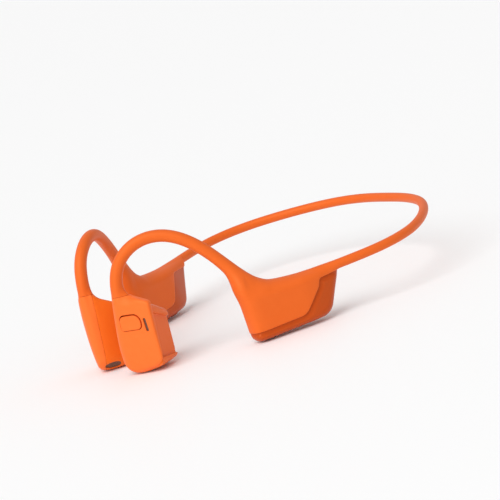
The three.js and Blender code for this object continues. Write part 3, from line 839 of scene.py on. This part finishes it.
def make_neckband():
    """Cover and wire in two halves that meet in the middle, each running from the neckband's middle to its
    pod.
    """
    cover_last = nearest_step(POD.world((21.5, 0, 0))[0])
    wire_last = nearest_step(POD.world((15.5, 0, 0))[0])
    cover_shape = swept(cover_last, RADIUS, 36)
    wire_shape = swept(wire_last, np.full(len(SPINE), WIRE_RADIUS), 14)
    for name, side in SIDES:
        cover = new_object(f"{name}_neckband_cover", *cover_shape, "silicone", side, 50)
        wire = new_object(f"{name}_spring_wire", *wire_shape, "titanium", side, 50)
        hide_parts("neckband_skin", f"{name}_band_skin")
        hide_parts("neckband_wire", f"{name}_band_wire")
        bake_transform(cover)
        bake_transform(wire)


def make_hooks_and_pods():
    """One cover from each pod to its transducer, and the glossy case under it."""
    cover = build(cover_field, (5.5, -52, -14.5), (46, 12, 28.5), 0.3)
    case_box = bounds_of(POD, (-11, -14.2, -5), (22.5, 1, 5))
    cases = {1: build(pod_case_field, *case_box, 0.26), -1: build(right_case_field, *case_box, 0.24)}
    for name, side in SIDES:
        place(f"{name}_hook_and_pod_cover", cover, "silicone", side, f"{name}_arm",
              (f"{name}_hook_skin", f"{name}_pod_skin"))
        place(f"{name}_pod_case", cases[side], "gloss_case", side, f"{name}_arm",
              (f"{name}_pod_outer_case", f"{name}_pod_inner_case"))


def make_transducers():
    """Shell, housing, cheek pad and sound port; the left shell alone has a button and a slot."""
    shell_box = bounds_of(FACE, (0, -13, -6), (15, 13, 1))
    housing_box = bounds_of(FACE, (0, -13, -13), (15, 13, -2.5))
    pad_box = bounds_of(FACE, (2, -10, -13), (13, 5, -11))
    port_box = bounds_of(FACE, (-1, -13, -9), (8, -7, -2.5))
    housing = build(housing_field, *housing_box, 0.2)
    pad = build(pad_field, *pad_box, 0.18)
    grille = build(grille_field, *port_box, 0.14)
    shells = {1: build(left_shell_field, *shell_box, 0.17), -1: build(shell_field, *shell_box, 0.2)}
    for name, side in SIDES:
        arm = f"{name}_arm"
        place(f"{name}_outer_shell", shells[side], "matte_shell", side, arm, (f"{name}_transducer_shell",))
        place(f"{name}_inner_housing", housing, "satin_housing", side, arm, (f"{name}_transducer_housing",))
        place(f"{name}_cheek_pad", pad, "silicone", side, arm, (f"{name}_contact_pad",))
        place(f"{name}_sound_port", grille, "mesh", side, arm, (f"{name}_port_grille",))


def make_left_controls():
    button_box = bounds_of(FACE, (2.5, 1, -1.6), (11, 8, 0.8))
    place("control_button", build(button_field, *button_box, 0.13), "matte_shell", 1, "multifunction_button",
          ("multifunction_button",))
    mic_box = bounds_of(FACE, (10.6, 0.6, -1.6), (12.6, 5.6, -0.4))
    place("mic_mesh", build(mic_mesh_field, *mic_box, 0.12), "mesh", 1, "left_arm", ("microphone_mesh",))


def make_volume_buttons():
    for name, button in VOLUME_BUTTONS.items():

        def key_field(points, button=button):
            return volume_button_field(points, button)

        along = button[0]
        box = bounds_of(POD, (along - 2.3, -14.1, -2.1), (along + 2.3, -11.3, 2.1))
        key = build(key_field, *box, 0.14)
        place(f"{name}_key", key, "gloss_case", -1, f"{name}_button", (f"{name}_button",))


def finish_cad_nodes():
    """Gives every CAD node that still shows the material of its slot."""
    slots = {part["node"]: part["material_slot"] for part in frame["record"]["subparts"]}
    for name, node in frame["nodes"].items():
        if node.hide_render:
            continue
        node.data.materials.clear()
        node.data.materials.append(MATERIALS[slots[name]])


# ------------------------------------------------------------------ camera, floor and light
AZIMUTH = 58.15  # degrees
ELEVATION = 11.48
ROLL = -16.44
DISTANCE = 1.0  # metres
LENS = 236.7  # millimetres, on a 36 mm sensor


def make_camera():
    a, e = math.radians(AZIMUTH), math.radians(ELEVATION)
    back = Vector((math.sin(a) * math.cos(e), -math.cos(a) * math.cos(e), math.sin(e)))
    camera = bpy.data.cameras.new("camera")
    camera.lens = LENS
    camera.sensor_width = 36
    camera.shift_x = 0.024
    camera.shift_y = 0.0415
    camera.clip_end = 20
    seat = bpy.data.objects.new("camera", camera)
    bpy.context.scene.collection.objects.link(seat)
    seat.rotation_mode = "QUATERNION"
    level = (-back).to_track_quat("-Z", "Y")
    seat.rotation_quaternion = level @ Matrix.Rotation(math.radians(ROLL), 3, "Z").to_quaternion()
    aim = Vector((0, SHIFT / 1000, LIFT / 1000))
    seat.location = aim + back * DISTANCE
    bpy.context.scene.camera = seat


def make_floor():
    """A pale square, level with the lowest point of the headphones."""
    half = 6
    corners = [(-half, -half, 0), (half, -half, 0), (half, half, 0), (-half, half, 0)]
    mesh = bpy.data.meshes.new("floor")
    mesh.from_pydata(corners, [], [(0, 1, 2, 3)])
    mesh.materials.append(principled("pale_floor", (0.96, 0.96, 0.96), 0.6)[0])
    floor = bpy.data.objects.new("floor", mesh)
    floor.location.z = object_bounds()[0].z
    bpy.context.scene.collection.objects.link(floor)


def add_lamp(name, light, direction, distance=0):
    """Puts a light the given distance out from the origin, shining back along the direction."""
    way = Vector(direction)
    lamp = bpy.data.objects.new(name, light)
    lamp.location = way.normalized() * distance
    lamp.rotation_mode = "QUATERNION"
    lamp.rotation_quaternion = way.to_track_quat("Z", "Y")
    bpy.context.scene.collection.objects.link(lamp)


def make_light():
    """A white room, a broad soft light from above and a weak disc in front."""
    world = bpy.data.worlds.new("studio")
    bpy.context.scene.world = world
    world.use_nodes = True
    background = world.node_tree.nodes["Background"]
    background.inputs["Color"].default_value = (1, 1, 1, 1)
    background.inputs["Strength"].default_value = 0.58
    sun = bpy.data.lights.new("overcast", "SUN")
    sun.angle = math.radians(50)
    sun.energy = 1.9
    add_lamp("overcast", sun, (0.25, -0.62, 0.75))
    front = bpy.data.lights.new("front", "AREA")
    front.shape = "DISK"
    front.size = 0.6
    front.energy = 2.2
    add_lamp("front", front, (0.3, -1.0, 0.14), 1.3)
    bpy.context.scene.view_settings.view_transform = "Standard"


make_neckband()
make_hooks_and_pods()
make_transducers()
make_left_controls()
make_volume_buttons()
finish_cad_nodes()
make_camera()
make_floor()
make_light()
